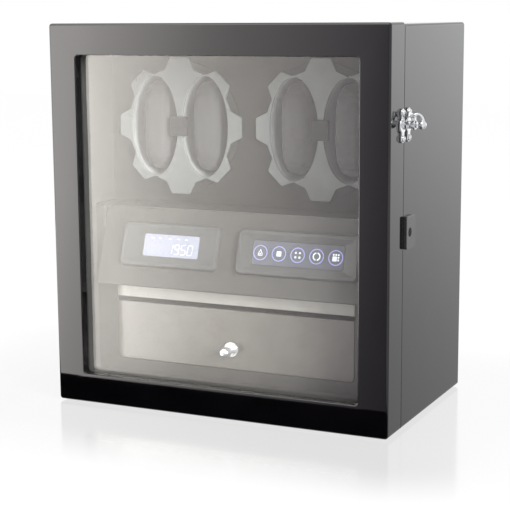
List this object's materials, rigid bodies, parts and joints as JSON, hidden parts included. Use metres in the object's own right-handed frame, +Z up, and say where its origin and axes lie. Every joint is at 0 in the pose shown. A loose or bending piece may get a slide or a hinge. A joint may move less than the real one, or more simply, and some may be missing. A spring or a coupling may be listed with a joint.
{
  "type": "watch winder box",
  "caption": "Glazed gloss black cabinet that turns wristwatches on powered rotors behind a hinged door, with a display and touch keys on a sloping console over a drawer",
  "frame": {"origin": "the middle of the overall box at the level of the undersides of the feet", "axes": "+X to the viewer's right when facing the door, +Y from the door towards the back, +Z up"},
  "size_m": [0.3753, 0.215, 0.3745],
  "materials": {
    "black_lacquer": "high gloss black lacquer over board",
    "black_board": "matt black painted board",
    "chamber_lining": "satin warm grey leatherette",
    "console_lining": "satin darker grey leatherette",
    "clear_glass": "clear polished glass",
    "silver_face": "satin silver",
    "silver_cup": "bright silver coated plastic",
    "cushion_leather": "dark grey fine suede leather",
    "dark_plastic": "satin dark grey",
    "gloss_black": "polished black",
    "lit_display": "backlit bluish white display",
    "chrome": "polished chrome plate",
    "steel": "plain bright steel",
    "grey_plastic": "moulded off-white plastic",
    "circuit_board": "green solder mask",
    "rubber": "matt black rubber"
  },
  "bodies": {
    "cabinet": {"cabinet_shell": "black_lacquer", "back_panel": "black_board", "rotor_panel": "chamber_lining", "chamber_liner": "chamber_lining", "light_bar": "grey_plastic", "console_panel": "console_lining", "drawer_surround": "console_lining", "drawer_top_rail": "chamber_lining", "drawer_housing": "black_board", "control_board": "circuit_board", "power_jack": "dark_plastic", "foot_front_left": "rubber", "foot_front_right": "rubber", "foot_back_left": "rubber", "foot_back_right": "rubber", "display_bezel": "dark_plastic", "display_screen": "lit_display", "touch_bezel": "dark_plastic", "touch_panel": "gloss_black", "drive_frame": "steel", "bearing_left": "steel", "bearing_right": "steel", "motor_left": "steel", "motor_right": "steel", "hinge_leaf_cabinet_lower": "steel", "hinge_leaf_cabinet_upper": "steel", "hinge_pin_lower": "steel", "hinge_pin_upper": "steel", "catch_plate_cabinet": "chrome", "catch_screw_cabinet_lower": "chrome", "catch_screw_cabinet_upper": "chrome", "lock_block": "gloss_black"},
    "door": {"door_frame": "black_lacquer", "door_glass": "clear_glass", "glass_retainer": "chamber_lining", "hinge_leaf_door_lower": "steel", "hinge_leaf_door_upper": "steel", "catch_plate_door": "chrome", "catch_screw_door_lower": "chrome", "catch_screw_door_upper": "chrome"},
    "catch": {"catch_lever": "chrome"},
    "lock": {"lock_barrel": "steel", "lock_cam": "steel"},
    "rotor_left": {"faceplate_left": "silver_face", "cup_left": "silver_cup", "centre_cover_left": "dark_plastic", "drive_gear_left": "grey_plastic"},
    "rotor_right": {"faceplate_right": "silver_face", "cup_right": "silver_cup", "centre_cover_right": "dark_plastic", "drive_gear_right": "grey_plastic"},
    "pinion_shaft_left": {"pinion_left": "grey_plastic"},
    "pinion_shaft_right": {"pinion_right": "grey_plastic"},
    "watch_cushion_1": {"cushion_left_outer": "cushion_leather"},
    "watch_cushion_2": {"cushion_left_inner": "cushion_leather"},
    "watch_cushion_3": {"cushion_right_inner": "cushion_leather"},
    "watch_cushion_4": {"cushion_right_outer": "cushion_leather"},
    "drawer": {"drawer_front": "chamber_lining", "drawer_tray": "console_lining", "drawer_knob": "chrome"}
  },
  "joints": [
    {"name": "door_swing", "type": "hinge", "parent": "cabinet", "child": "door", "pos_m": [-0.1844, -0.0712, 0.1865], "axis": [0, 0, -1], "range_deg": [0, 110]},
    {"name": "catch_swing", "type": "hinge", "parent": "cabinet", "child": "catch", "pos_m": [0.1762, -0.0636, 0.2835], "axis": [-1, 0, 0], "range_deg": [-14, 75]},
    {"name": "lock_turn", "type": "hinge", "parent": "cabinet", "child": "lock", "pos_m": [0.1509, -0.062, 0.1857], "axis": [-1, 0, 0], "range_deg": [0, 90]},
    {"name": "rotor_left_spin", "type": "hinge", "parent": "cabinet", "child": "rotor_left", "pos_m": [-0.0816, 0, 0.2725], "axis": [0, 1, 0], "continuous": true},
    {"name": "rotor_right_spin", "type": "hinge", "parent": "cabinet", "child": "rotor_right", "pos_m": [0.0704, 0, 0.2725], "axis": [0, 1, 0], "continuous": true},
    {"name": "pinion_left_spin", "type": "hinge", "parent": "cabinet", "child": "pinion_shaft_left", "pos_m": [-0.0816, 0, 0.2398], "axis": [0, 1, 0], "continuous": true},
    {"name": "pinion_right_spin", "type": "hinge", "parent": "cabinet", "child": "pinion_shaft_right", "pos_m": [0.0704, 0, 0.2398], "axis": [0, 1, 0], "continuous": true},
    {"name": "cushion_1_pull", "type": "slide", "parent": "rotor_left", "child": "watch_cushion_1", "axis": [0, -1, 0], "range_m": [0, 0.055]},
    {"name": "cushion_2_pull", "type": "slide", "parent": "rotor_left", "child": "watch_cushion_2", "axis": [0, -1, 0], "range_m": [0, 0.055]},
    {"name": "cushion_3_pull", "type": "slide", "parent": "rotor_right", "child": "watch_cushion_3", "axis": [0, -1, 0], "range_m": [0, 0.055]},
    {"name": "cushion_4_pull", "type": "slide", "parent": "rotor_right", "child": "watch_cushion_4", "axis": [0, -1, 0], "range_m": [0, 0.055]},
    {"name": "drawer_slide", "type": "slide", "parent": "cabinet", "child": "drawer", "axis": [0, -1, 0], "range_m": [0, 0.1]}
  ],
  "couplings": [
    {"joint": "pinion_left_spin", "follows": "rotor_left_spin", "ratio": -3.3333},
    {"joint": "pinion_right_spin", "follows": "rotor_right_spin", "ratio": -3.3333},
    {"joint": "drawer_slide", "follows": "door_swing", "m_per_rad": 0.05208}
  ]
}
